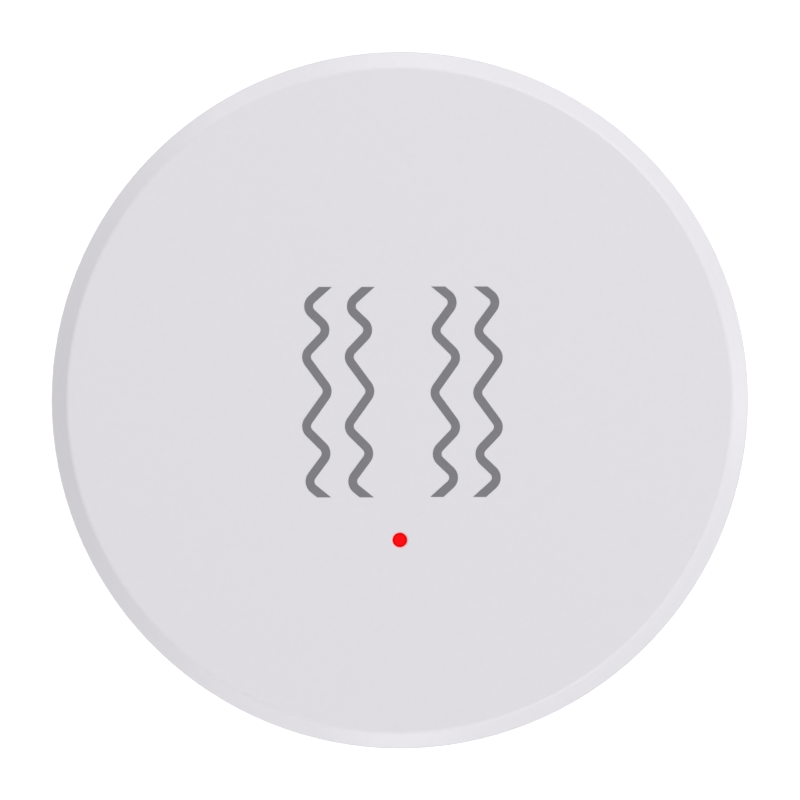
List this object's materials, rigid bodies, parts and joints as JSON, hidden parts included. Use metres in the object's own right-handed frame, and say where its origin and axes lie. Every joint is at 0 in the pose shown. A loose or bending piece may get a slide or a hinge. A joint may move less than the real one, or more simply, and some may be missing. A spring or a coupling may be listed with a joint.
{
  "type": "vibration sensor tag",
  "caption": "Round white stick-on vibration sensor with a bevelled face, red lamp, flush reset key, coin-slot bayonet battery door and a coin-cell radio board inside",
  "frame": {"origin": "centre of the mounting face, the back of the adhesive pad", "axes": "+Z out of the front face, +Y towards the symbol's top, +X to the right seen from the front"},
  "size_m": [0.05, 0.05, 0.015],
  "materials": {
    "shell": "fine satin texture",
    "pad": "closed-cell foam tape",
    "lamp_guide": "clear red, lit",
    "board": "solder mask",
    "module": "solder mask",
    "steel": "tinned",
    "chip": "moulded",
    "crystal": "plated lid",
    "lamp": "moulded lens",
    "stem": "moulded",
    "ceramic": "fired",
    "bulk": "moulded",
    "contact": "plated spring leaf",
    "cell": "satin plated",
    "seal": "moulded"
  },
  "bodies": {
    "case": {"front_shell": "shell", "rear_shell": "shell", "adhesive_pad": "pad", "light_guide": "lamp_guide", "main_pcb": "board", "module_board": "module", "pcb_screws": "steel", "module_shield": "steel", "switch_cover": "steel", "radio_chip": "chip", "vibration_chip": "chip", "switch_base": "chip", "crystal": "crystal", "status_lamp": "lamp", "chip_capacitors": "ceramic", "capacitor_ends": "steel", "bulk_capacitor": "bulk", "bulk_leads": "steel", "positive_contact": "contact", "negative_contact": "contact", "cell_can": "cell", "cell_cap": "cell", "cell_seal": "seal"},
    "door": {"battery_door": "shell"},
    "key": {"reset_key": "shell", "switch_stem": "stem"}
  },
  "joints": [
    {"name": "door_turn", "type": "hinge", "parent": "case", "child": "door", "pos_m": [0, 0, 0.0019], "axis": [0, 0, -1], "range_deg": [0, 30]},
    {"name": "reset_press", "type": "slide", "parent": "case", "child": "key", "axis": [0, 1, 0], "range_m": [0, 0.00025], "stiffness_N_per_m": 6000}
  ]
}
